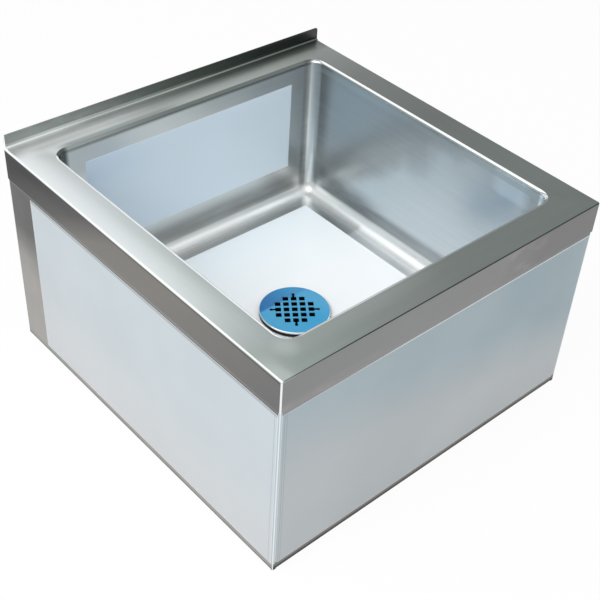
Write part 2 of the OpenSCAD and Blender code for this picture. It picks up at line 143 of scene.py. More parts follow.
def shell(grid, around, along=None, across=None):
    """Points, faces and flow coordinates of one closed shell. Point (i, j) has
    the number i times the columns plus j; a face joins rows i and i + 1 and
    columns j and j + 1. The last row joins the first, and the last column
    does too if the grid goes all the way around."""
    rows, columns = grid.shape[:2]
    along = length_along(grid[0]) if along is None else along
    across = length_along(grid[:, 0]) if across is None else across
    if around:
        step = np.linalg.norm(grid[rows // 4, 0] - grid[rows // 4, -1])
        along = np.r_[along, along[-1] + step]
    else:
        along = np.r_[along, along[-1]]
    i, j = np.meshgrid(np.arange(rows), np.arange(columns if around else columns - 1), indexing="ij")
    i, j = i.ravel(), j.ravel()
    i2, j2 = (i + 1) % rows, j + 1
    near, far = np.r_[across, across[-1]][i], np.r_[across, across[-1]][i + 1]
    faces = np.stack([i * columns + j, i * columns + j2 % columns,
                      i2 * columns + j2 % columns, i2 * columns + j], 1)
    flow = np.stack([np.stack([along[j], near], 1), np.stack([along[j2], near], 1),
                     np.stack([along[j2], far], 1), np.stack([along[j], far], 1)], 1)
    if not around:                      # an end face joins each point to the one behind it
        k = np.arange(rows // 2 - 1)
        for column in (0, columns - 1):
            ends = np.stack([k, k + 1, rows - 2 - k, rows - 1 - k], 1)
            faces = np.vstack([faces, ends * columns + column])
            flow = np.vstack([flow, np.stack([np.full(ends.shape, along[column]),
                                              across[ends]], 2)])
    return grid.reshape(-1, 3), faces, flow


MERGE, SHARP = 2e-6, 32                # metres between points that are one, degrees at an arris


def make_piece(name, shells, body, finish, replaces=(), marks=None):
    """A mesh object from one or more closed shells, in metres. marks holds
    named values, one for each point, that the finish can read."""
    points, faces, flow, first = [], [], [], 0
    for p, f, w in shells:
        points.append(p)
        faces.append(f + first)
        flow.append(w)
        first += len(p)
    mesh = bpy.data.meshes.new(name)
    mesh.from_pydata((np.vstack(points) * MM).tolist(), [], np.vstack(faces).tolist())
    layer = mesh.uv_layers.new(name="flow")
    layer.data.foreach_set("uv", (np.vstack(flow) * MM).astype(np.float32).ravel())
    for mark, values in (marks or {}).items():
        stored = mesh.attributes.new(mark, "FLOAT", "POINT")
        stored.data.foreach_set("value", values.astype(np.float32).ravel())
    work = bmesh.new()
    work.from_mesh(mesh)
    bmesh.ops.remove_doubles(work, verts=work.verts, dist=MERGE)
    bmesh.ops.recalc_face_normals(work, faces=work.faces)
    if work.calc_volume(signed=True) < 0:
        bmesh.ops.reverse_faces(work, faces=work.faces)
    work.to_mesh(mesh)
    open_edges = sum(not e.is_manifold for e in work.edges)
    work.free()
    mesh.polygons.foreach_set("use_smooth", np.ones(len(mesh.polygons), bool))
    mesh.set_sharp_from_angle(angle=math.radians(SHARP))
    piece = bpy.data.objects.new(name, mesh)
    bpy.context.scene.collection.objects.link(piece)
    mesh.materials.append(finish)
    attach(piece, body)
    if replaces:
        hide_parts(*replaces)
    print(name, len(mesh.polygons), "faces,", open_edges, "open edges")
    return piece


# %% [markdown]
# ## A bench for finishes
# A finish is a node tree on one Principled shader. These few helpers keep the
# recipes short: each adds one node and hands back its output, so a recipe
# reads from the inside out, like a formula. Most of a recipe works out a
# share between 0 and 1, which says where a tone belongs.

# %% Finish bench
def from_hex(code):
    """Colour code to linear light, which is what shaders count in."""
    part = np.array([int(code[k:k + 2], 16) for k in (1, 3, 5)]) / 255
    light = np.where(part <= 0.04045, part / 12.92, ((part + 0.055) / 1.055) ** 2.4)
    return (*light.tolist(), 1.0)


class Finish:
    """One material and the means to add nodes to it."""

    def __init__(self, name, **plain):
        self.material = bpy.data.materials.new(name)
        self.material.use_nodes = True
        self.tree = self.material.node_tree
        self.shader = self.tree.nodes["Principled BSDF"]
        for socket, value in plain.items():
            self.shader.inputs[socket.replace("_", " ")].default_value = value
        self.where = self.node("ShaderNodeTexCoord", out="Object")
        parts = self.tree.nodes.new("ShaderNodeSeparateXYZ")
        self.feed(parts.inputs[0], self.where)
        self.x, self.y, self.z = parts.outputs

    def feed(self, socket, value):
        """Links a node's output to the socket, or writes a plain value there."""
        if isinstance(value, bpy.types.NodeSocket):
            self.tree.links.new(value, socket)
        else:
            socket.default_value = value

    def node(self, kind, feeds=None, out=0, **settings):
        """One node with its settings and inputs; the answer is its output."""
        made = self.tree.nodes.new(kind)
        for key, value in settings.items():
            setattr(made, key, value)
        for key, value in (feeds or {}).items():
            self.feed(made.inputs[key], value)
        return made.outputs[out]

    def mark(self, name):
        """A value that the mesh carries for each of its points."""
        return self.node("ShaderNodeAttribute", out="Fac", attribute_name=name)

    def sum(self, kind, a, b=0.0):
        """One step of arithmetic, by the name that Blender gives it."""
        return self.node("ShaderNodeMath", {0: a, 1: b}, operation=kind)

    def plus(self, a, b):
        """a and b added."""
        return self.sum("ADD", a, b)

    def minus(self, a, b):
        """b taken from a."""
        return self.sum("SUBTRACT", a, b)

    def most(self, a, b):
        """The larger of a and b."""
        return self.sum("MAXIMUM", a, b)

    def unsigned(self, a):
        """a without its sign."""
        return self.sum("ABSOLUTE", a)

    def times(self, *values):
        """All values multiplied together."""
        total = values[0]
        for value in values[1:]:
            total = self.sum("MULTIPLY", total, value)
        return total

    def rest(self, share):
        """1 minus a share."""
        return self.minus(1.0, share)

    def between(self, share, low, high):
        """Low where the share is 0, high where it is 1, mixed in between."""
        return self.plus(self.times(low, self.rest(share)), self.times(high, share))

    def soft(self, value, low, high, to_low=0.0, to_high=1.0):
        """Smooth step from to_low at low to to_high at high."""
        return self.node("ShaderNodeMapRange",
                         {0: value, 1: low, 2: high, 3: to_low, 4: to_high},
                         interpolation_type="SMOOTHSTEP")

    def along(self, value, low, high):
        """Even step from 0 at low to 1 at high."""
        return self.node("ShaderNodeMapRange", {0: value, 1: low, 2: high})

    def past_mitre(self, corner_x, corner_y):
        """How far a point lies to the side of the slanting line through the
        corner (x, y) of a ring: above zero at the sides, below at front and back."""
        return self.minus(self.minus(self.unsigned(self.x), corner_x),
                          self.minus(self.unsigned(self.y), corner_y))

    def ramp(self, value, stops):
        """Colours by position; stops are (position, colour code)."""
        made = self.tree.nodes.new("ShaderNodeValToRGB")
        band = made.color_ramp
        for k, (place, code) in enumerate(stops):
            stop = band.elements[k] if k < 2 else band.elements.new(place)
            stop.position = place
            stop.color = from_hex(code)
        self.feed(made.inputs[0], value)
        return made.outputs[0]

    def blend(self, share, a, b, how="MIX"):
        """Colour a where the share is 0, colour b where it is 1."""
        made = self.tree.nodes.new("ShaderNodeMix")
        made.data_type, made.blend_type = "RGBA", how
        for socket, value in zip((made.inputs[0], made.inputs[6], made.inputs[7]), (share, a, b)):
            self.feed(socket, from_hex(value) if isinstance(value, str) else value)
        return made.outputs[2]

    def dim(self, colour, level):
        """Colour times a number."""
        return self.node("ShaderNodeVectorMath", {0: colour, "Scale": level}, operation="SCALE")

    def noise(self, scale, stretch=(1, 1, 1), detail=3.0):
        """Cloud noise, drawn out along the axes with a small stretch."""
        place = self.node("ShaderNodeMapping", {"Vector": self.where, "Scale": stretch})
        return self.node("ShaderNodeTexNoise", {"Vector": place, "Scale": scale, "Detail": detail})

    def bump(self, height, distance):
        """Relief from a height between 0 and 1, at most distance metres high."""
        normal = self.node("ShaderNodeBump", {"Height": height, "Distance": distance})
        self.feed(self.shader.inputs["Normal"], normal)

    def colour(self, value):
        """The finish takes this colour."""
        self.feed(self.shader.inputs["Base Color"], value)

    def roughness(self, value):
        """The finish takes this roughness: 0 is a mirror, 1 is chalk."""
        self.feed(self.shader.inputs["Roughness"], value)


print("a middle grey is", round(from_hex("#808080")[0], 3), "in linear light")

# %% [markdown]
# ## Deck steel
# The deck is ground along each rail, and each rail carries its own painted
# reflection: the left one almost white, the front and right ones grey, the back
# one dark at the root of the tile edge. The painted tones are smooth ramps along
# and across each rail, and the joints between them are soft, as in a mitre that
# has been ground flush.

# %% Rails of the deck
deck_steel = Finish("deck steel", Metallic=1.0, Roughness=0.36)
f = deck_steel
by_x, by_y = f.along(f.x, -half_w, half_w), f.along(f.y, -half_d, half_d)
on_side = f.soft(f.past_mitre((BOWL_W + RIM_R) * MM, (BOWL_D + RIM_R) * MM), -0.018, 0.018)
left_outer = f.ramp(by_y, [(0.03, "#ACB5B2"), (0.09, "#A3ACA9"), (0.29, "#D2DAD9"),
                           (0.43, "#DEE4E5"), (0.90, "#E6EBEC"), (1.0, "#FFFFFF")])
left_inner = f.ramp(by_y, [(0.04, "#838D87"), (0.10, "#A1AAA9"), (0.20, "#ABB4B4"), (0.36, "#ADB6B5"),
                           (0.70, "#C2C9CB"), (0.925, "#BFC6C6"), (0.965, "#F0F4F4")])
left_rail = f.blend(f.soft(f.x, -0.345, -0.292), left_outer, left_inner)
right_rail = f.ramp(by_y, [(0.0, "#676F6C"), (0.15, "#6E7573"), (0.50, "#676D6B"),
                           (0.78, "#727674"), (0.94, "#878D8A"), (0.98, "#565B58")])
front_rail = f.ramp(by_x, [(0.0, "#A4ADAA"), (0.06, "#919B97"), (0.25, "#838A87"),
                           (0.50, "#737976"), (1.0, "#6B7371")])
# Painted sheen: the front rail is paler near the bowl's rim, towards the left.
sheen_near_rim = f.times(f.soft(f.y, -0.345, -0.300), f.soft(f.x, 0.05, -0.15), 0.35)
front_rail = f.blend(sheen_near_rim, front_rail, "#A8AFAE")
back_near = f.ramp(by_x, [(0.0, "#FFFFFF"), (0.07, "#D9DFDE"), (0.24, "#DCE2E1"),
                          (0.40, "#BAC1BF"), (0.78, "#A5ADA9"), (0.92, "#959C98")])
back_root = f.ramp(by_x, [(0.0, "#FBFDFD"), (0.14, "#ECF0EF"), (0.24, "#C0C7C5"),
                          (0.54, "#A9B0AD"), (0.80, "#7B8480"), (1.0, "#6C736F")])
back_rail = f.blend(f.soft(f.y, 0.334, 0.350), back_near, f.dim(back_root, 0.84))
shaded_rim = f.times(f.soft(f.y, 0.316, 0.306), f.soft(f.x, 0.0, -0.08), f.soft(f.x, -0.29, -0.25), 0.8)
back_rail = f.blend(shaded_rim, back_rail, "#8F9998")
# Painted highlight: a white glint across the back rail, left of the middle, just before the tile edge.
glint_before_tile = f.times(f.soft(f.y, 0.320, 0.331), f.soft(f.y, 0.347, 0.339), f.soft(f.x, 0.0, -0.20), 0.75)
back_rail = f.blend(glint_before_tile, back_rail, "#FFFFFF")
side_rail = f.blend(f.soft(f.x, -0.01, 0.01), left_rail, right_rail)
cross_rail = f.blend(f.soft(f.y, -0.01, 0.01), front_rail, back_rail)
top_tone = f.blend(on_side, cross_rail, side_rail)
print("rails:", len(f.tree.nodes), "nodes")

# %% [markdown]
# The tile edge carries a painted reflection of the room behind the camera: pale
# at the left, almost black at the right, with a lighter line just above its root.
# Two paler spots of painted reflection lie on the ring near the front left corner.

# %% Tile edge and corner of the ring
tile_face = f.ramp(by_x, [(0.0, "#868C89"), (0.07, "#949A98"), (0.55, "#5B615D"),
                          (0.79, "#383E3B"), (0.93, "#333836"), (0.99, "#4A4D4B")])
tile_root = f.ramp(by_x, [(0.0, "#9CA2A1"), (0.07, "#C6CCCB"), (0.21, "#D2D6D4"), (0.36, "#B6BBB8"),
                          (0.64, "#60665F"), (0.79, "#4D5350"), (0.99, "#2B2D2C")])
blotch = f.times(f.soft(f.noise(26, (1, 1, 2)), 0.48, 0.64), f.soft(f.x, 0.0, -0.2), 0.35)
tile_tone = f.blend(f.soft(f.z, 0.4115, 0.4140), tile_root, f.blend(blotch, tile_face, "#A9AFAD"))
# Painted reflection: a darker band along the top of the tile edge, towards the right.
dark_top_reflection = f.times(f.soft(f.z, 0.4250, 0.4272), f.soft(f.x, 0.0, 0.2), 0.8)
tile_tone = f.blend(dark_top_reflection, tile_tone, "#464B48")
near_corner = f.node("ShaderNodeVectorMath", {0: f.where, 1: (-0.298, -0.304, deck_z)},
                     out="Value", operation="DISTANCE")
# Painted reflection: two paler spots on the ring near the front left corner.
top_tone = f.blend(f.times(f.soft(near_corner, 0.028, 0.003), 0.4), top_tone, "#C2CBC9")
at_arris = f.times(f.soft(f.plus(f.x, f.y), -0.645, -0.680), f.soft(f.x, -0.318, -0.332))
top_tone = f.blend(f.times(at_arris, 0.6), top_tone, "#B6BEBC")
top_tone = f.blend(f.soft(f.z, 0.4065, 0.4100), top_tone, tile_tone)
print("with the tile edge:", len(f.tree.nodes), "nodes")

# %% [markdown]
# The aprons carry painted reflections: browner than the top, and dark at the
# wall end of the left one. The border of its dark end slants, so the ramp runs
# along y plus twice the height. The front apron has a rosy cloud towards the left.

# %% Aprons
slanted = f.along(f.plus(f.y, f.times(f.minus(f.z, 0.375), 2.0)), -half_d, half_d)
left_apron = f.ramp(slanted, [(0.0, "#747474"), (0.40, "#827F7A"), (0.61, "#7D7A76"),
                              (0.74, "#555453"), (0.95, "#2B2B2B")])
front_apron = f.ramp(by_x, [(0.35, "#8B8C8C"), (0.65, "#888888"), (0.80, "#7C7A7A"), (1.0, "#7A7979")])
patchy = f.soft(f.noise(14, (1, 1, 2)), 0.45, 0.62)
rosy = f.times(f.soft(f.z, 0.368, 0.350), f.soft(f.x, -0.10, -0.30, 0.15, 0.8), f.soft(f.x, 0.1, 0.0),
               f.plus(0.3, f.times(patchy, 0.5)))
front_apron = f.blend(rosy, front_apron, "#A89EA1")
pale_patch = f.times(f.soft(f.x, 0.06, 0.10), f.soft(f.x, 0.24, 0.16), patchy, 0.5)
front_apron = f.blend(pale_patch, front_apron, "#9C9899")
apron_tone = f.blend(f.soft(f.past_mitre(half_w, half_d), -0.002, 0.002), front_apron, left_apron)
tone = f.blend(f.soft(f.z, 0.4020, 0.4040), apron_tone, top_tone)
print("with the aprons:", len(f.tree.nodes), "nodes")

# %% [markdown]
# The bends carry painted highlights: a white line on the left bend and on both
# front arrises, a dark line of painted reflection on the front bend, and painted
# shade on the left apron just under its bend. Fine streaks follow the rail.

# %% Bends and grain
# Painted shade on the left apron just under its bend.
shade_under_bend = f.times(f.soft(f.x, -0.3450, -0.3465), f.soft(f.z, 0.3990, 0.4005), f.soft(f.z, 0.4030, 0.4020))
tone = f.blend(f.times(shade_under_bend, 0.55), tone, "#3A3A3A")
# Painted reflection: a dark line along the front bend.
front_bend_reflection = f.times(f.soft(f.y, -0.3545, -0.3548), f.soft(f.z, 0.4038, 0.4042), f.soft(f.x, -0.344, -0.340),
                     f.soft(f.x, -0.34, -0.20, 0.7, 1.0))
tone = f.blend(f.times(front_bend_reflection, 0.95), tone, "#262B29")
# Painted highlights: a white line on the left bend and down both front arrises.
left_bend_highlight = f.times(f.soft(f.x, -0.3443, -0.3448), f.soft(f.z, 0.4038, 0.4044),
                    f.soft(f.y, -0.21, -0.28, 1.0, 0.6))
arris = f.times(f.soft(f.plus(f.unsigned(f.x), f.unsigned(f.y)), 0.7003, 0.7007), f.soft(f.y, 0.01, -0.01))
tone = f.blend(f.most(left_bend_highlight, arris), tone, "#FAFCFC")
streak = f.blend(on_side, f.noise(700, (0.02, 1, 1)), f.noise(700, (1, 0.02, 1)))
sweep = f.blend(on_side, f.noise(45, (0.08, 1, 1)), f.noise(45, (1, 0.08, 1)))
tone = f.blend(0.08, tone, streak, "SOFT_LIGHT")
f.colour(f.blend(0.16, tone, sweep, "SOFT_LIGHT"))
f.roughness(f.soft(sweep, 0.3, 0.7, 0.32, 0.40))
f.bump(streak, 0.00002)
print("deck steel:", len(f.tree.nodes), "nodes")

# %% [markdown]
# ## Bowl steel
# The bowl is pressed, welded at the corners and then ground by hand, so its
# grain runs round the walls. Each wall has its own painted level of light: the
# side walls are painted dark and blue near the back and clear up towards the
# front, with one slanting painted reflection of the back wall's foot. The finish
# reads two marks that the bowl's mesh carries: how far a point is from the
# nearest upright corner, and how far up the section from the middle of the cove.

# %% Levels of the bowl's walls
bowl_steel = Finish("bowl steel", Metallic=1.0, Roughness=0.34)
f = bowl_steel
bowl_side = f.soft(f.past_mitre((BOWL_W - COVE_R) * MM, (BOWL_D - COVE_R) * MM), -0.008, 0.008)
from_corner, from_cove = f.mark("from_corner"), f.mark("from_cove")
cloud = f.noise(9)
slope = f.plus(f.y, f.times(f.minus(f.z, 0.310), 1.1))
slope = f.plus(slope, f.soft(cloud, 0.3, 0.7, -0.03, 0.03))
# Painted light: the side walls clear up near the top at the front.
clear_front = f.times(f.soft(f.z, 0.325, 0.365), f.soft(f.y, -0.10, -0.20))
side_level = f.most(f.soft(slope, -0.03, 0.06, 0.68, 0.52), f.times(clear_front, 0.88))
off_slant = f.unsigned(f.plus(f.z, f.minus(f.times(f.y, 0.78), 0.3472)))
# Painted reflection of the back wall's foot: one slanting shade on the side walls.
mirrored = f.times(f.soft(off_slant, 0.042, 0.008), f.soft(f.y, 0.02, 0.20, 0.0, 0.32),
                   f.soft(f.y, 0.26, 0.21))
side_level = f.times(side_level, f.rest(mirrored))
back_level = f.between(f.soft(f.z, 0.18, 0.24), 0.70, f.soft(f.x, -0.12, 0.20, 0.84, 0.78))
top_shade = f.times(f.soft(f.z, 0.338, 0.356), f.soft(f.x, 0.15, -0.10, 0.4, 1.0), 0.12)
back_level = f.times(back_level, f.rest(top_shade))
wall_level = f.between(bowl_side, back_level, side_level)
print("bowl walls:", len(f.tree.nodes), "nodes")

# %% [markdown]
# The coves carry a painted highlight. The strip of floor along each cove is
# painted darker, and on the sides it clears up towards the front, where the lower
# half of the cove does too. The ball corners are painted a little darker than the
# coves that meet in them.

# %% Levels of the coves and the floor
back_floor = f.soft(f.y, 0.256, 0.264, 0.80, 0.95)
side_floor = f.soft(f.y, 0.112, 0.128, 1.1, 0.70)
floor_level = f.between(bowl_side, back_floor, side_floor)
off_ball = f.plus(from_corner, f.unsigned(from_cove))
shaded_foot = f.times(f.soft(from_cove, 0.005, -0.009), f.soft(f.y, 0.112, 0.128, 0.15, 0.50))
under_cove = f.between(bowl_side, f.soft(from_cove, -0.006, 0.0, 0.84, 1.0), f.rest(shaded_foot))
cove_level = f.times(f.soft(from_corner, 0.010, 0.028, 0.88, 1.0), under_cove,
                     f.soft(off_ball, 0.004, 0.014, 0.72, 1.0))
level = f.between(f.soft(from_cove, 0.010, 0.022), f.most(cove_level, 0.56), wall_level)
level = f.between(f.soft(from_cove, -0.013, -0.018), level, floor_level)
print("with coves and floor:", len(f.tree.nodes), "nodes")

# %% [markdown]
# Dark bands of painted reflection lie beside the upright corners and above the
# coves, where the steel is also a little rougher. The bands fade out where they
# end, and noise makes their borders ragged.

# %% Painted dark bands
def round_the_walls(scale, fine):
    """Noise drawn out along whichever wall the point belongs to."""
    return f.blend(bowl_side, f.noise(scale, (fine, 1, 1)), f.noise(scale, (1, fine, 1)))


ragged = f.soft(round_the_walls(40, 0.2), 0.25, 0.6, 0.75, 1.0)
fading = f.most(f.soft(from_corner, 0.028, 0.018), f.times(bowl_side, f.soft(from_corner, 0.055, 0.026)))
past_corner = f.minus(from_corner, f.times(bowl_side, 0.008))
on_side_wall = f.times(f.soft(past_corner, 0.005, 0.011), fading, bowl_side,
                       f.soft(f.z, 0.15, 0.28, 0.16, 0.38))
on_back_wall = f.times(f.soft(from_corner, 0.004, 0.008), f.soft(from_corner, 0.024, 0.014),
                       f.rest(bowl_side), 0.42)
beside_corner = f.times(f.plus(on_side_wall, on_back_wall), f.soft(from_cove, 0.0, 0.020), ragged)
band_end = f.most(f.soft(from_cove, 0.058, 0.040),
                  f.times(f.soft(from_cove, 0.085, 0.040), f.soft(f.y, 0.05, 0.15)))
above_side = f.times(f.soft(from_cove, 0.016, 0.023), f.soft(f.y, -0.05, 0.15, 0.45, 0.55),
                     f.soft(from_corner, 0.024, 0.044, 0.3, 1.0), band_end)
above_back = f.times(f.soft(from_cove, 0.008, 0.014), f.soft(from_cove, 0.075, 0.035),
                     f.soft(from_corner, 0.020, 0.044, 0.15, 0.50))
above_cove = f.times(ragged, f.between(bowl_side, above_back, above_side))
level = f.times(level, f.rest(beside_corner), f.rest(above_cove))
print("with dull bands:", len(f.tree.nodes), "nodes")

# %% [markdown]
# The level dims a nearly white steel, bluer on the side walls. The rolled rim
# carries painted reflections again, white at the left and dark at the front and
# back, and a painted shade darkens the back left upright corner. Streaks and
# scratches run round the walls, and the ground parts are a little rougher.

# %% Rims and grain of the bowl
tone = f.ramp(f.along(f.z, floor_z, deck_z), [(0.0, "#F4F6F5"), (0.35, "#F0F4F4"), (1.0, "#EDF2F2")])
tone = f.blend(f.times(bowl_side, f.soft(from_cove, 0.012, 0.030)), tone, "#E9F3F8")
tone = f.dim(tone, level)
# Painted shade deep in the back left upright corner.
shade_in_back_corner = f.times(f.soft(from_corner, 0.022, 0.012), f.soft(f.x, -0.20, -0.26), f.soft(f.y, 0.2, 0.26))
tone = f.blend(f.times(shade_in_back_corner, 0.9), tone, "#38443F")
# Painted reflection: a pale band just under the right rim.
under_rim_reflection = f.times(f.soft(f.x, 0.283, 0.286), f.soft(f.z, 0.3855, 0.3870), f.soft(f.z, 0.3980, 0.3970), 0.6)
tone = f.blend(under_rim_reflection, tone, "#B3BEBF")
# Painted reflections on the rolled side rims, white on the left and grey on the right, and a white painted
# highlight on their crest.
side_rim_reflection = f.times(f.soft(f.unsigned(f.x), 0.2890, 0.2900), f.soft(f.z, 0.3985, 0.4005))
tone = f.blend(side_rim_reflection, tone, f.blend(f.soft(f.x, -0.1, 0.1), "#F4F8F8", "#8C9795"))
rim_crest_highlight = f.times(f.soft(f.unsigned(f.x), 0.2906, 0.2912), f.soft(f.z, 0.4015, 0.4025))
tone = f.blend(rim_crest_highlight, tone, "#FBFDFD")
# Painted shade along the front and back rims.
front_rim_shade = f.times(f.soft(f.y, -0.2905, -0.2960), f.soft(f.z, 0.397, 0.402), f.soft(f.x, -0.18, 0.05))
tone = f.blend(f.times(front_rim_shade, 0.8), tone, "#6F7A77")
back_rim_shade = f.times(f.soft(f.y, 0.2895, 0.2970), f.soft(f.z, 0.394, 0.401), f.soft(f.x, -0.30, 0.0, 0.6, 0.85))
tone = f.blend(back_rim_shade, tone, "#4A5450")
streak, scratch = round_the_walls(600, 0.02), round_the_walls(120, 0.05)
tone = f.blend(0.14, tone, scratch, "SOFT_LIGHT")
f.colour(f.blend(0.08, tone, streak, "SOFT_LIGHT"))
in_cove = f.times(f.soft(from_cove, 0.022, 0.012), f.soft(from_cove, -0.022, -0.014))
ground = f.plus(f.times(f.most(beside_corner, above_cove), 0.2), f.times(in_cove, 0.16))
f.roughness(f.plus(f.soft(cloud, 0.3, 0.7, 0.285, 0.345), ground))
f.bump(f.plus(streak, scratch), 0.00002)
print("bowl steel:", len(f.tree.nodes), "nodes")

# %% [markdown]
# ## The bowl
# A pressed bowl is one sheet: a rolled rim, a straight wall, a cove, and a
# floor that runs in to the round waste hole. The section is carried round a
# rectangle whose corners stay put while the outward direction turns through a
# quarter circle, which is exactly how a ball corner arises.

# %% Way round the bowl
def round_the_bowl(edge_steps, corner_steps):
    """Base points and outward angles, anticlockwise: in each corner the base
    stands still and the angle turns 90 degrees; along each edge it moves on."""
    corner = np.array([[1, 1], [-1, 1], [-1, -1], [1, -1]]) * (BOWL_W - COVE_R, BOWL_D - COVE_R)
    share = np.arange(1, edge_steps)[:, None] / edge_steps
    bases, angles = [], []
    for k in range(4):
        bases += [np.tile(corner[k], (corner_steps + 1, 1)),
                  corner[k] + share * (corner[(k + 1) % 4] - corner[k])]
        angles += [np.linspace(90 * k, 90 * k + 90, corner_steps + 1),
                   np.full(edge_steps - 1, 90 * k + 90)]
    return np.vstack(bases), np.radians(np.concatenate(angles))


base, angle = round_the_bowl(24, 16)
outward = np.stack([np.cos(angle), np.sin(angle)], 1)
print("points round the bowl:", len(base))

# %% [markdown]
# The section is drawn once, from the floor's edge upwards: cove, wall, rim.
# The floor is a set of rings that slide from that edge, a rectangle, to the
# circle of the hole.

# %% Section and floor of the bowl
bowl_line = fold(bend((0, FLOOR_Z + COVE_R), COVE_R, -90, 0, 14, -1),
                 run((COVE_R, FLOOR_Z + COVE_R), (COVE_R, DECK_Z - RIM_R), 12, (-1, 0)),
                 bend((COVE_R + RIM_R, DECK_Z - RIM_R), RIM_R, 180, 90, 10, 1))
wall_grid = carry(sheet_of(bowl_line, SHEET), base, angle)
toward = base + COVE_R * outward
hole = HOLE_R * toward / np.linalg.norm(toward, axis=1)[:, None]
share = np.array([0, 0.004, 0.1, 0.25, 0.45, 0.7, 0.9, 0.996])[:, None, None]
floor_flat = hole[None] * (1 - share) + base[None] * share
floor_top = np.dstack([floor_flat, np.full(floor_flat.shape[:2], FLOOR_Z)])
floor_under = floor_top[::-1] - (0, 0, SHEET)
bowl_grid = np.concatenate([floor_top, wall_grid, floor_under])
print("bowl grid:", bowl_grid.shape[:2])

# %% [markdown]
# The two marks are lengths along the sheet. The corner mark is 0 in the
# middle of a ball corner and grows along the quarter circle and then along
# the straight wall. The cove mark is the length along the section, counted
# from the middle of the cove: below zero on the floor, above it on the wall.

# %% Marks of the bowl
FLOOR_RUN = 200.0                      # about the floor's width from hole to cove
half_cove = COVE_R * math.pi / 4
turned = np.abs((np.degrees(angle) - 45) % 90)
corner_at = np.array([BOWL_W - COVE_R, BOWL_D - COVE_R])
in_corner = np.isclose(np.linalg.norm(np.abs(base) - corner_at, axis=1), 0)
beyond = np.abs(np.abs(toward) - corner_at)
side_wall = np.abs(np.cos(angle)) > 0.5
corner_mark = np.where(in_corner, np.minimum(turned, 90 - turned) / 45 * half_cove,
                       half_cove + np.where(side_wall, beyond[:, 1], beyond[:, 0]))
down_length = np.r_[-FLOOR_RUN * (1 - share.ravel()), length_along(bowl_line[:, :2])]
down_length = np.r_[down_length, down_length[::-1]]
marks = {"from_corner": np.broadcast_to(corner_mark, bowl_grid.shape[:2]) * MM,
         "from_cove": np.broadcast_to((down_length - half_cove)[:, None], bowl_grid.shape[:2]) * MM}
make_piece("bowl_shell", [shell(bowl_grid, True, length_along(toward), down_length)],
           "sink", bowl_steel.material, ["bowl"], marks)

# %% [markdown]
# ## The deck
# The deck is folded from one sheet. Its flat ring runs from the bowl's rim to
# the bends; three aprons turn down, and the wall side turns up into the tile
# edge. Each part is a closed sheet of its own, and they meet on the lines of
# the bends with the same normals, so that the fold reads as one.

# %% Ring of the deck
stretch = np.maximum(np.abs(outward[:, 0]), np.abs(outward[:, 1]))
gap_y = np.where(outward[:, 1] > 0, HALF_D - SHEET - TILE_BEND, HALF_D - EDGE_R) - (BOWL_D - COVE_R)
gap = np.stack([np.full(len(base), HALF_W - EDGE_R - (BOWL_W - COVE_R)), gap_y], 1)
outer = base + gap * outward / stretch[:, None]
inner = base + (COVE_R + RIM_R) * outward
RING = 60.0                            # about the ring's width, for the spacing of its rows
share = run((0, 0), (RING, 0), 10, (0, 1))[:, 0][:, None, None] / RING
ring_flat = inner[None] * (1 - share) + outer[None] * share
ring_top = np.dstack([ring_flat, np.full(ring_flat.shape[:2], DECK_Z)])
ring_grid = np.concatenate([ring_top, ring_top[::-1] - (0, 0, SHEET)])
print("ring grid:", ring_grid.shape[:2])

# %% [markdown]
# The aprons are one strip that starts at the wall on the left, runs round both
# front corners and ends at the wall on the right. As in the bowl, the base
# stands still in each corner while the direction turns.

# %% Aprons of the deck
STRAIGHT, ROUND = 25, 17               # places along each apron and round each corner
edge_line = fold(bend((0, DECK_Z - EDGE_R), EDGE_R, 90, 0, 8, 1),
                 run((EDGE_R, DECK_Z - EDGE_R), (EDGE_R, APRON_FOOT), 6, (1, 0)))
step = np.linspace(0, 1, STRAIGHT)[:, None]
bend_x, bend_y = HALF_W - EDGE_R, HALF_D - EDGE_R
turn = np.linspace(0, 90, ROUND)[1:-1]
left_run = (-bend_x, HALF_D) + step * (0, -HALF_D - bend_y)
front_run = (-bend_x, -bend_y) + step * (2 * bend_x, 0)
right_run = (bend_x, -bend_y) + step * (0, HALF_D + bend_y)
apron_base = np.vstack([left_run, np.tile(left_run[-1], (len(turn), 1)), front_run,
                        np.tile(front_run[-1], (len(turn), 1)), right_run])
apron_angle = np.radians(np.r_[np.full(STRAIGHT, 180.0), 180 + turn, np.full(STRAIGHT, 270.0),
                               270 + turn, np.full(STRAIGHT, 360.0)])
apron_grid = carry(sheet_of(edge_line, SHEET), apron_base, apron_angle)
print("apron grid:", apron_grid.shape[:2])

# %% [markdown]
# The tile edge has two rounded top corners. Its columns stand closer together
# there, and each is as tall as the circle of the corner allows at its place.

# %% Tile edge of the deck
flat_end = HALF_W - TILE_CORNER        # where the rounded corner begins
into_corner = TILE_CORNER * np.sin(np.radians(np.linspace(0, 90, 9)))
tile_x = np.r_[-flat_end - into_corner[::-1], np.linspace(1 - flat_end, flat_end - 1, 25),
               flat_end + into_corner]
drop = np.clip(np.abs(tile_x) - flat_end, 0, TILE_CORNER)
tile_top = TILE_TOP - TILE_CORNER + np.sqrt(TILE_CORNER ** 2 - drop ** 2)
tile_y = HALF_D - SHEET - TILE_BEND
tile_line = fold(bend((tile_y, DECK_Z + TILE_BEND), TILE_BEND, -90, 0, 8, -1),
                 run((HALF_D - SHEET, DECK_Z + TILE_BEND), (HALF_D - SHEET, TILE_TOP), 6, (-1, 0)))
tile_section = sheet_of(tile_line, SHEET)
above = np.clip((tile_section[:, 1] - DECK_Z - TILE_BEND) / (TILE_TOP - DECK_Z - TILE_BEND), 0, 1)
tile_z = tile_section[:, 1][:, None] + above[:, None] * (tile_top - TILE_TOP)[None]
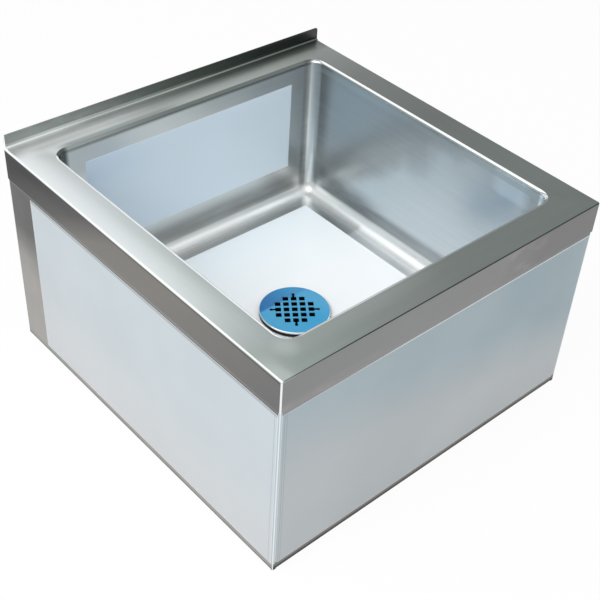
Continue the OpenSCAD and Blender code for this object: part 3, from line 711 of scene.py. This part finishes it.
tile_grid = np.stack([np.broadcast_to(tile_x, tile_z.shape),
                      np.broadcast_to(tile_section[:, :1], tile_z.shape), tile_z], 2)
make_piece("deck_sheet", [shell(ring_grid, True), shell(apron_grid, False), shell(tile_grid, False)],
           "sink", deck_steel.material, ["top_deck"])

# %% [markdown]
# ## Skirt, frame and waste finishes
# These pieces keep their CAD shape. Each gets the finish of what it is made
# of: folded sheet with a faint vertical grain, dull black rubber, cast nut
# metal, white nylon. The metals share one recipe.

# %% Plain metals, rubber and nylon
def plain_metal(name, dark, light, rough, stretch=(1, 1, 0.03), scale=500):
    """Two tones mixed by cloud noise, with streaks drawn out along one axis."""
    f = Finish(name, Metallic=1.0)
    streak, cloud = f.noise(scale, stretch), f.noise(14, detail=4.0)
    tone = f.blend(f.soft(cloud, 0.3, 0.7), dark, light)
    f.colour(f.blend(0.12, tone, streak, "SOFT_LIGHT"))
    f.roughness(f.soft(cloud, 0.3, 0.7, rough - 0.05, rough + 0.06))
    f.bump(streak, 0.00003)
    return f.material


def dull_solid(name, dark, light, rough):
    """Rubber or nylon: nearly one colour, fine grain in roughness and relief."""
    f = Finish(name, Specular_IOR_Level=0.35)
    fine, cloud = f.noise(900), f.noise(30)
    f.colour(f.blend(cloud, dark, light))
    f.roughness(f.soft(cloud, 0.3, 0.7, rough - 0.06, rough + 0.06))
    f.bump(fine, 0.00004)
    return f.material


frame_steel = plain_metal("frame steel", "#8C9090", "#9EA2A1", 0.42)
tail_steel = plain_metal("tailpiece steel", "#A9AEAD", "#BFC4C2", 0.33, (1, 1, 1), 120)
nut_metal = plain_metal("nut metal", "#A8A08C", "#BDB49D", 0.38, (1, 1, 1), 260)
black_rubber = dull_solid("black rubber", "#0C0C0C", "#1B1B1B", 0.62)
white_nylon = dull_solid("white nylon", "#D5D5CE", "#E4E4DE", 0.45)
print("plain finishes:", [finish.name for finish in (frame_steel, tail_steel, nut_metal,
                                                     black_rubber, white_nylon)])

# %% [markdown]
# The strainer plate is polished steel under its blue film: only its lip shows,
# a thin white line over a rim in shade. The waste body is steel too, and dark
# inside, where no light comes.

# %% Strainer plate and waste body
f = Finish("strainer steel", Metallic=1.0)
cloud = f.noise(60)
tone = f.blend(f.soft(cloud, 0.3, 0.7), "#DDE2E2", "#EDF1F1")
lip_low = f.soft(f.y, -0.03, 0.01, 0.1117, 0.1130)
in_shade = f.most(f.soft(f.minus(f.z, lip_low), 0.0003, -0.0003),
                  f.times(f.soft(f.x, 0.048, 0.058), f.soft(f.z, 0.1146, 0.1143)))
f.colour(f.blend(in_shade, tone, "#0E1011"))
f.roughness(f.soft(cloud, 0.3, 0.7, 0.28, 0.34))
f.bump(f.noise(500), 0.00002)
strainer_steel = f.material
print("strainer steel:", len(f.tree.nodes), "nodes")

f = Finish("waste steel", Metallic=1.0)
cloud = f.noise(120)
flat_place = f.node("ShaderNodeVectorMath", {0: f.where, 1: (1, 1, 0)}, operation="MULTIPLY")
from_axis = f.node("ShaderNodeVectorMath", {0: flat_place}, out="Value", operation="LENGTH")
in_barrel = f.times(f.soft(from_axis, 0.0430, 0.0420), f.soft(f.z, 0.0715, 0.0725))
in_mouth = f.times(f.soft(from_axis, 0.0510, 0.0500), f.soft(f.z, 0.1020, 0.1030))
in_neck = f.soft(from_axis, 0.0206, 0.0202)
inside = f.most(f.most(in_barrel, in_mouth), in_neck)
tone = f.blend(f.soft(cloud, 0.3, 0.7), "#A9AEAD", "#BFC4C2")
f.colour(f.blend(inside, tone, "#1B1F20"))
f.roughness(f.plus(f.soft(cloud, 0.3, 0.7, 0.28, 0.36), f.times(inside, 0.3)))
f.bump(cloud, 0.00003)
waste_steel = f.material
print("waste steel:", len(f.tree.nodes), "nodes")

# %% [markdown]
# The skirt panels are bare only in narrow strips: beside the film's rear edge,
# under the apron and at the foot. Their tones are painted light and shade, by
# height and by panel, with a painted shadow under the apron and painted shade at
# the foot. The folded front corners carry a painted highlight and stay nearly white.

# %% Skirt steel
f = Finish("skirt steel", Metallic=1.0)
tall_strip = f.ramp(f.along(f.z, 0.0, APRON_FOOT * MM), [(0.0, "#A6A4A0"), (0.40, "#A4A09D"),
                                                         (0.56, "#989793"), (0.75, "#626262"),
                                                         (1.0, "#5E5E5E")])
side_top = f.ramp(f.along(f.y, -half_d, half_d), [(0.0, "#7E7E7C"), (0.3, "#94918E"), (0.7, "#8A8A86"),
                                                  (0.85, "#7A7877"), (1.0, "#6D6D6D")])
side_strips = f.blend(f.soft(f.z, 0.3360, 0.3380), tall_strip, side_top)
film_shade = f.times(f.soft(f.z, 0.3412, 0.3400), f.soft(f.z, 0.3375, 0.3382), 0.7)
side_strips = f.blend(film_shade, side_strips, "#4A4846")
# Painted shade at the foot of the side panels: greyer low down, dark at the very foot.
side_strips = f.blend(f.soft(f.z, 0.0150, 0.0140), side_strips, "#9E9E9B")
side_strips = f.blend(f.soft(f.z, 0.0056, 0.0040), side_strips, "#62625F")
front_strips = f.ramp(f.along(f.x, -half_w, half_w), [(0.0, "#969596"), (0.6, "#8B8B8D"), (1.0, "#7E8180")])
film_glint = f.times(f.soft(f.z, 0.3372, 0.3378), f.soft(f.z, 0.3399, 0.3393), f.soft(f.x, -0.26, -0.08),
                     f.soft(f.y, 0.0, -0.1), 0.7)
front_strips = f.blend(film_glint, front_strips, "#FFFFFF")
# Painted shade at the foot of the front panel, darkest at the very foot.
front_strips = f.blend(f.soft(f.z, 0.0160, 0.0150), front_strips, "#757471")
front_strips = f.blend(f.soft(f.z, 0.0090, 0.0070), front_strips, "#3E3D3A")
on_front = f.soft(f.past_mitre(SKIRT_X * MM, SKIRT_Y * MM), 0.001, -0.001)
tone = f.blend(on_front, side_strips, front_strips)
folded = f.times(f.plus(f.unsigned(f.x), f.unsigned(f.y)), f.soft(f.y, 0.01, -0.01))
# The folded front corners: a bluish line beside them, then a white painted highlight on the fold.
tone = f.blend(f.times(f.soft(folded, 0.6955, 0.6962), f.soft(f.z, 0.012, 0.016)), tone, "#BFCCD4")
tone = f.blend(f.soft(folded, 0.6976, 0.6980), tone, "#F8FBFB")
streak, cloud = f.noise(500, (1, 1, 0.03)), f.noise(14, detail=4.0)
f.colour(f.blend(0.12, tone, streak, "SOFT_LIGHT"))
f.roughness(f.soft(cloud, 0.3, 0.7, 0.31, 0.42))
f.bump(streak, 0.00003)
skirt_steel = f.material
print("skirt steel:", len(f.tree.nodes), "nodes")

# %% [markdown]
# A CAD node takes a finish through its material slots. Its mesh and its place
# stay as they are.

# %% Which node gets which finish
def finish_nodes(finish, *names):
    """Puts a finish in every material slot of the named CAD nodes."""
    for name in names:
        mesh = nodes[name].data
        mesh.materials.clear()
        mesh.materials.append(finish)


finish_nodes(skirt_steel, "skirt_front", "skirt_left", "skirt_right", "skirt_back")
finish_nodes(frame_steel, "corner_post_front_left", "corner_post_front_right",
             "corner_post_back_left", "corner_post_back_right",
             "bowl_channel_front", "bowl_channel_back")
finish_nodes(waste_steel, "waste_body")
finish_nodes(tail_steel, "tailpiece")
finish_nodes(strainer_steel, "strainer")
finish_nodes(nut_metal, "locknut", "coupling_nut")
finish_nodes(black_rubber, "seat_rubber", "under_rubber_washer")
finish_nodes(white_nylon, "slip_washer", "tail_washer")
print("finished:", sum(len(node.data.materials) == 1 for node in nodes.values()), "nodes with one finish")

# %% [markdown]
# ## Film finishes
# The protective film is thin, milky and a little blue, with a satin gloss. It
# hides the grain of the steel almost completely; its broad soft changes of tone
# are painted light and shade. Each cut edge carries a painted highlight, so
# each sheet carries a mark, named border, that says how near a point is to it,
# and another, named crease, for the painted shade beside a crease.

# %% Film finishes
def film_finish(name, tone_of, gloss=0.5):
    """A film whose colour comes from tone_of(f), with pale cut edges."""
    f = Finish(name, Specular_IOR_Level=gloss)
    cloud = f.noise(5, detail=2.0)
    tone = f.blend(f.soft(cloud, 0.35, 0.7, 0.0, 0.10), tone_of(f), "#DDE4E8")
    # Painted shade beside each crease, and a painted highlight along each cut edge.
    tone = f.blend(f.times(f.mark("crease"), 0.7), tone, "#7F929E")
    f.colour(f.blend(f.times(f.mark("border"), 0.8), tone, "#F4FAFC"))
    f.roughness(f.soft(f.noise(12), 0.3, 0.7, 0.28, 0.36))
    f.bump(f.noise(6, detail=1.0), 0.0005)
    return f.material


def front_film_tone(f):
    """Blue-grey above a slanting border that sinks to the right, paler below."""
    high = f.soft(f.plus(f.z, f.times(f.x, 0.20)), 0.125, 0.275)
    above = f.ramp(f.along(f.x, -0.342, 0.342), [(0.0, "#A5B6BE"), (0.5, "#9CB0B8"), (1.0, "#94A9B2")])
    return f.blend(high, "#B5BBBE", above)


def side_film_tone(f):
    """Almost even, and greyer in a painted shade just under the apron."""
    tall = f.blend(f.soft(f.z, 0.02, 0.25), "#C1C5C8", "#B8C2C8")
    return f.blend(f.soft(f.z, 0.331, 0.3365, 0.0, 0.9), tall, "#8B9093")


def wall_film_tone(f):
    """Pale blue, paler to the right and towards the foot of the wall."""
    across = f.along(f.x, -0.232, 0.232)
    low = f.ramp(across, [(0.0, "#DDEEFF"), (0.3, "#E1F2FF"), (1.0, "#E5F4FF")])
    high = f.ramp(across, [(0.0, "#CFE4F8"), (0.3, "#DEF0FD"), (1.0, "#E2F2FE")])
    return f.blend(f.soft(f.z, 0.28, 0.345), low, high)


def floor_film_tone(f):
    """White, a little bluer towards the back wall."""
    back = f.along(f.y, -0.26, 0.25)
    return f.ramp(back, [(0.6, "#FBFDFE"), (0.8, "#F8FDFF"), (1.0, "#F0FAFF")])


front_film = film_finish("front film", front_film_tone)
side_film = film_finish("side film", side_film_tone)
wall_film = film_finish("wall film", wall_film_tone)
floor_film = film_finish("floor film", floor_film_tone)
print("pale films:", front_film.name, side_film.name, wall_film.name, floor_film.name)

# %% [markdown]
# On the strainer the film is a strong clear blue and nearly without gloss. It
# keeps its CAD shape, because it is punched with the plate.

# %% Film on the strainer
def strainer_tone(f):
    """Clear blue, with one darker sector that ends in a soft line at either side."""
    sector = f.times(f.soft(f.y, 0.028, 0.035), f.soft(f.x, 0.035, -0.030, 0.45, 1.0))
    clear = f.blend(f.soft(f.x, 0.03, -0.05), "#40A2D0", "#4AA8D6")
    return f.blend(sector, clear, "#1A70AE")


finish_nodes(film_finish("blue film", strainer_tone, gloss=0.12), "strainer_film")
print("strainer film:", nodes["strainer_film"].data.materials[0].name)

# %% [markdown]
# ## Film sheets
# Each sheet is a grid laid on its panel: it follows the steel, stands off it
# in very low waves, and has a crease or two where it was pulled tight round
# the front corner. The lower corners of the front sheet are snipped.

# %% Film sheets on the flat panels
FILM, BORDER, CREASE_STEP = 0.15, 1.2, 0.4
CREASED, SNIP = 12.0, 6.0              # width that holds creases, size of the cut corners


def film_box(name):
    """Lowest and highest corner of a film's CAD node, in millimetres."""
    low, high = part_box(name)
    return [v / MM for v in (*low, *high)]


def with_borders(low, high, steps, fine=0.0):
    """Even steps from low to high, with one more just inside either end, and
    a mark that is 1 at the two ends and 0 between. The first stretch, fine mm
    long, is stepped closely, so that it can hold creases."""
    begin = low + BORDER + np.arange(0, fine, CREASE_STEP)
    last = begin[-1] if fine else low + BORDER
    places = np.r_[low, begin[:-1], np.linspace(last, high - BORDER, steps + 1), high]
    return places, np.isin(places, (low, high)).astype(float)


def film_sheet(name, across, up, lay, finish, creases=()):
    """Front face: the panel's plane plus a wave of at most 0.3 mm and creases
    of 0.25 mm, each a bell curve across the place it is at. The back face is
    one film thickness behind. lay(place, height, off) gives the 3-D point."""
    u, v = np.meshgrid(across[0], up[0])
    wave = 0.15 * (1 + np.sin(u / 47 + np.sin(v / 90)) * np.cos(v / 63 + np.sin(u / 140)))
    shade = 0 * u
    for crease in creases:
        off_crease = u - crease - 0.6 * np.sin(v / 60)
        wave = wave + 0.25 * np.exp(-(off_crease / 0.9) ** 2)
        shade = shade + np.exp(-((off_crease - 0.6) / 0.6) ** 2)
    edge = np.minimum(np.minimum(u - u.min(), u.max() - u), np.minimum(v - v.min(), v.max() - v))
    wave = wave * np.clip(edge / 8, 0, 1)
    grid = np.concatenate([lay(u, v, wave + FILM), lay(u, v, wave)[::-1]])
    border = np.maximum(across[1][None], up[1][:, None])
    marks = {"border": np.concatenate([border, border[::-1]]),
             "crease": np.concatenate([shade, shade[::-1]])}
    return make_piece(name + "_sheet", [shell(grid, False)], "sink", finish, [name], marks)


low_x, _, low_z, high_x, _, high_z = film_box("film_front")


def snipped(u, v):
    """Height of a point of the front sheet once both lower corners are cut off."""
    return v + np.clip(SNIP - (high_x - np.abs(u)), 0, SNIP) * (1 - (v - low_z) / (high_z - low_z))


film_sheet("film_front",
           with_borders(low_x, high_x, 120, CREASED), with_borders(low_z, high_z, 50),
           lambda u, v, off: np.stack([u, -SKIRT_Y - off, snipped(u, v)], 2),
           front_film, creases=(low_x + 5, low_x + 9))
for name, outwards in (("film_left", -1), ("film_right", 1)):
    _, low_y, low_z, _, high_y, high_z = film_box(name)
    film_sheet(name,
               with_borders(low_y, high_y, 120, CREASED), with_borders(low_z, high_z, 50),
               lambda u, v, off: np.stack([outwards * (SKIRT_X + off), u, v], 2),
               side_film, creases=(low_y + 6,))
low_x, _, low_z, high_x, _, high_z = film_box("film_bowl_back")
film_sheet("film_bowl_back",
           with_borders(low_x, high_x, 80), with_borders(low_z, high_z, 40),
           lambda u, v, off: np.stack([u, BOWL_D - off, v], 2), wall_film)

# %% [markdown]
# The sheet on the bowl floor is a ring instead, from the cut-out round the
# waste to its outline. The outline is the panel's rectangle with the right
# side drawn in, which leaves a strip of bare floor beside it. Rays go out from
# the waste, and each meets one side of the outline. One low crease runs
# straight back from the waste.

# %% Film sheet on the bowl floor
DRAWN_IN, DRAWN_FROM = 19.0, -90.0     # how far the right side is in, and from which y backwards
CUT_R, CREASE_X = 65.0, -9.0           # radius of the cut-out, place of the crease


def cross(a, b):
    """Cross product of rows of flat vectors: ax times by minus ay times bx."""
    return a[:, 0] * b[:, 1] - a[:, 1] * b[:, 0]


low_x, low_y, _, high_x, high_y, _ = film_box("film_bowl_floor")
outline = np.array([(low_x, low_y), (high_x, low_y), (high_x - DRAWN_IN, DRAWN_FROM),
                    (high_x - DRAWN_IN, high_y), (low_x, high_y)])
corner_angle = np.arctan2(outline[:, 1], outline[:, 0])
angle = np.unique(np.r_[np.radians(np.arange(-180, 180, 2.5)), corner_angle])
ray = np.stack([np.cos(angle), np.sin(angle)], 1)
met = np.searchsorted(corner_angle, angle, side="right") - 1
course = (np.roll(outline, -1, axis=0) - outline)[met]
reach = cross(outline[met], course) / cross(ray, course)
print("floor film reaches", reach.min().round(1), "to", reach.max().round(1), "mm from the waste")

share = np.array([0, 0.008, 0.1, 0.25, 0.4, 0.55, 0.7, 0.85, 0.992, 1])[:, None]
radius = CUT_R * (1 - share) + reach * share
flat = radius[..., None] * ray[None]
wave = 0.12 * (1 + np.sin(flat[..., 0] / 40) * np.cos(flat[..., 1] / 52))
crease = 0.25 * np.exp(-((flat[..., 0] - CREASE_X) / 1.5) ** 2) * (flat[..., 1] > 0)
lift = (wave + crease) * np.sin(np.pi * share) ** 0.5
top = np.dstack([flat, FLOOR_Z + FILM + lift])
grid = np.concatenate([top, top[::-1] - (0, 0, FILM)])
border = np.broadcast_to(np.isin(share, (0, 1)).astype(float), radius.shape)
make_piece("film_bowl_floor_sheet", [shell(grid, True)], "sink", floor_film,
           ["film_bowl_floor"], {"border": np.concatenate([border, border[::-1]])})

# %% [markdown]
# ## Floor and light
# The sink stands on a plain white floor. For the camera and for reflections
# the floor shines at the white of a cleared background, mixed with its own
# lit surface, so that the shadow stays.

# %% Floor and its finish
WIDE, DROP = 12.0, 0.0006              # metres from the middle to the edge, and below the skirt
floor_mesh = bpy.data.meshes.new("studio_floor")
floor_mesh.from_pydata([(-WIDE, -WIDE, -DROP), (WIDE, -WIDE, -DROP),
                        (WIDE, WIDE, -DROP), (-WIDE, WIDE, -DROP)], [], [(0, 1, 2, 3)])
floor = bpy.data.objects.new("studio_floor", floor_mesh)
bpy.context.scene.collection.objects.link(floor)


FLOOR_GREY, FLOOR_GLOW = 0.86, 0.94    # its own colour, share of the cleared background in it


def seen_or_mirrored(tree):
    """1 for camera, glossy and transmission rays, 0 for diffuse light."""
    path = tree.nodes.new("ShaderNodeLightPath")
    total = path.outputs["Is Camera Ray"]
    for ray in ("Is Glossy Ray", "Is Transmission Ray"):
        both = tree.nodes.new("ShaderNodeMath")
        both.operation = "MAXIMUM"
        tree.links.new(total, both.inputs[0])
        tree.links.new(path.outputs[ray], both.inputs[1])
        total = both.outputs[0]
    return total


floor_finish = bpy.data.materials.new("studio floor")
floor_finish.use_nodes = True
tree = floor_finish.node_tree
lit = tree.nodes["Principled BSDF"]
lit.inputs["Base Color"].default_value = (FLOOR_GREY, FLOOR_GREY, FLOOR_GREY, 1)
lit.inputs["Roughness"].default_value = 0.9
glow = tree.nodes.new("ShaderNodeEmission")
glow.inputs["Strength"].default_value = 1.0
part = tree.nodes.new("ShaderNodeMath")
part.operation = "MULTIPLY"
part.inputs[1].default_value = FLOOR_GLOW
tree.links.new(seen_or_mirrored(tree), part.inputs[0])
mixed = tree.nodes.new("ShaderNodeMixShader")
tree.links.new(part.outputs[0], mixed.inputs[0])
tree.links.new(lit.outputs[0], mixed.inputs[1])
tree.links.new(glow.outputs[0], mixed.inputs[2])
tree.links.new(mixed.outputs[0], tree.nodes["Material Output"].inputs["Surface"])
floor_mesh.materials.append(floor_finish)
print("floor finish:", len(tree.nodes), "nodes")

# %% [markdown]
# The world lights everything evenly, a little less than it shows itself, and
# one large soft lamp on the left models the faces.

# %% World and lamp
WORLD_LIGHT, LAMP_WIDE, LAMP_WATTS = 0.62, 2.2, 58
LAMP_AT, LAMP_AIM = (-1.6, -0.35, 2.5), (0, 0, 0.2)
world = bpy.data.worlds.new("studio")
bpy.context.scene.world = world
world.use_nodes = True
tree = world.node_tree
back = tree.nodes["Background"]
back.inputs["Color"].default_value = (1, 1, 1, 1)
level = tree.nodes.new("ShaderNodeMapRange")
level.inputs["To Min"].default_value = WORLD_LIGHT
level.inputs["To Max"].default_value = 1.0
tree.links.new(seen_or_mirrored(tree), level.inputs["Value"])
tree.links.new(level.outputs[0], back.inputs["Strength"])

lamp_data = bpy.data.lights.new("left_softbox", "AREA")
lamp_data.shape = "RECTANGLE"
lamp_data.size = lamp_data.size_y = LAMP_WIDE
lamp_data.energy = LAMP_WATTS
lamp = bpy.data.objects.new("left_softbox", lamp_data)
bpy.context.scene.collection.objects.link(lamp)
lamp.location = LAMP_AT
lamp.rotation_euler = (Vector(LAMP_AIM) - Vector(LAMP_AT)).to_track_quat("-Z", "Y").to_euler()
print("lamp:", LAMP_WATTS, "W from", LAMP_AT)

# %% [markdown]
# ## Camera
# The camera stands off the sink's front left corner and looks down at it. Its
# place and turn were worked out from the straight edges of the sink. The
# three lengths are in deck heights, from the middle of the sink on the floor.

# %% Camera
AWAY, ASIDE, ABOVE = 5.230978, 0.232189, 0.259338
LENS, SENSOR, SHIFT = 67.4494, 36, -0.07
right = Vector((0.73375857, -0.67565430, 0.07134162))
up = Vector((0.39121385, 0.50602282, 0.76869541))
backward = Vector((-0.55547284, -0.53612702, 0.63562390))
camera_data = bpy.data.cameras.new("camera")
camera_data.sensor_width = SENSOR
camera_data.lens = LENS
camera_data.shift_x = SHIFT
camera_data.clip_end = 100
camera = bpy.data.objects.new("camera", camera_data)
bpy.context.scene.collection.objects.link(camera)
place = (backward * AWAY + right * ASIDE + up * ABOVE) * deck_z
camera.matrix_world = Matrix.Translation(place) @ Matrix((right, up, backward)).transposed().to_4x4()
bpy.context.scene.camera = camera
bpy.context.scene.view_settings.view_transform = "Standard"
print("camera at", [round(v, 3) for v in place])
